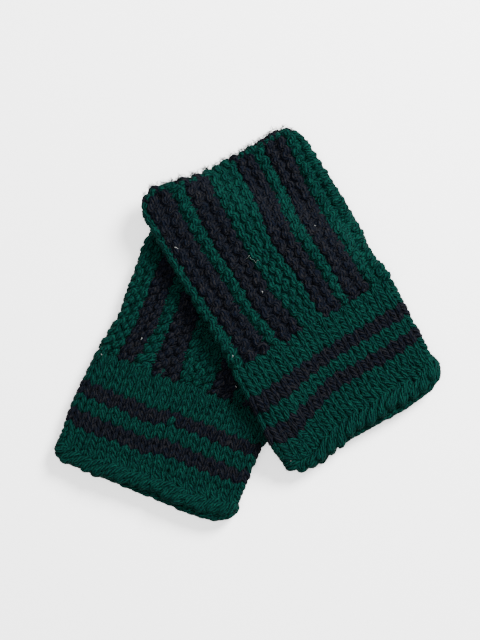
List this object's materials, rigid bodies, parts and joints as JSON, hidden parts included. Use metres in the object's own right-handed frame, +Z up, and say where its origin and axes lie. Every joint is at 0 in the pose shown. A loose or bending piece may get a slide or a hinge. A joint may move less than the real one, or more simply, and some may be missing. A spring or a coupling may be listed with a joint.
{
  "type": "pair of knitted wrist warmers",
  "caption": "Pair of hand-knitted fingerless wrist warmers laid flat, one resting partly on the other: striped garter-stitch hands, striped stocking-stitch cuffs and curled hems.",
  "frame": {"origin": "centre of the pair's outline as it lies, on the surface it rests on", "axes": "+Z up from the surface; +Y towards the finger edges and +X towards the upper warmer's cuff side, as the picture shows them from above"},
  "size_m": [0.19, 0.194, 0.0175],
  "materials": {
    "hand_knit": "matt worsted yarn, dark green and charcoal stripes in garter stitch",
    "cuff_knit": "matt worsted yarn, dark green with charcoal stripes in stocking stitch",
    "hem_knit": "matt worsted yarn, dark green, cast off and curled"
  },
  "bodies": {
    "root": {"left_hand": "hand_knit", "left_cuff": "cuff_knit", "left_hem": "hem_knit", "right_hand": "hand_knit", "right_cuff": "cuff_knit", "right_hem": "hem_knit"}
  },
  "joints": []
}
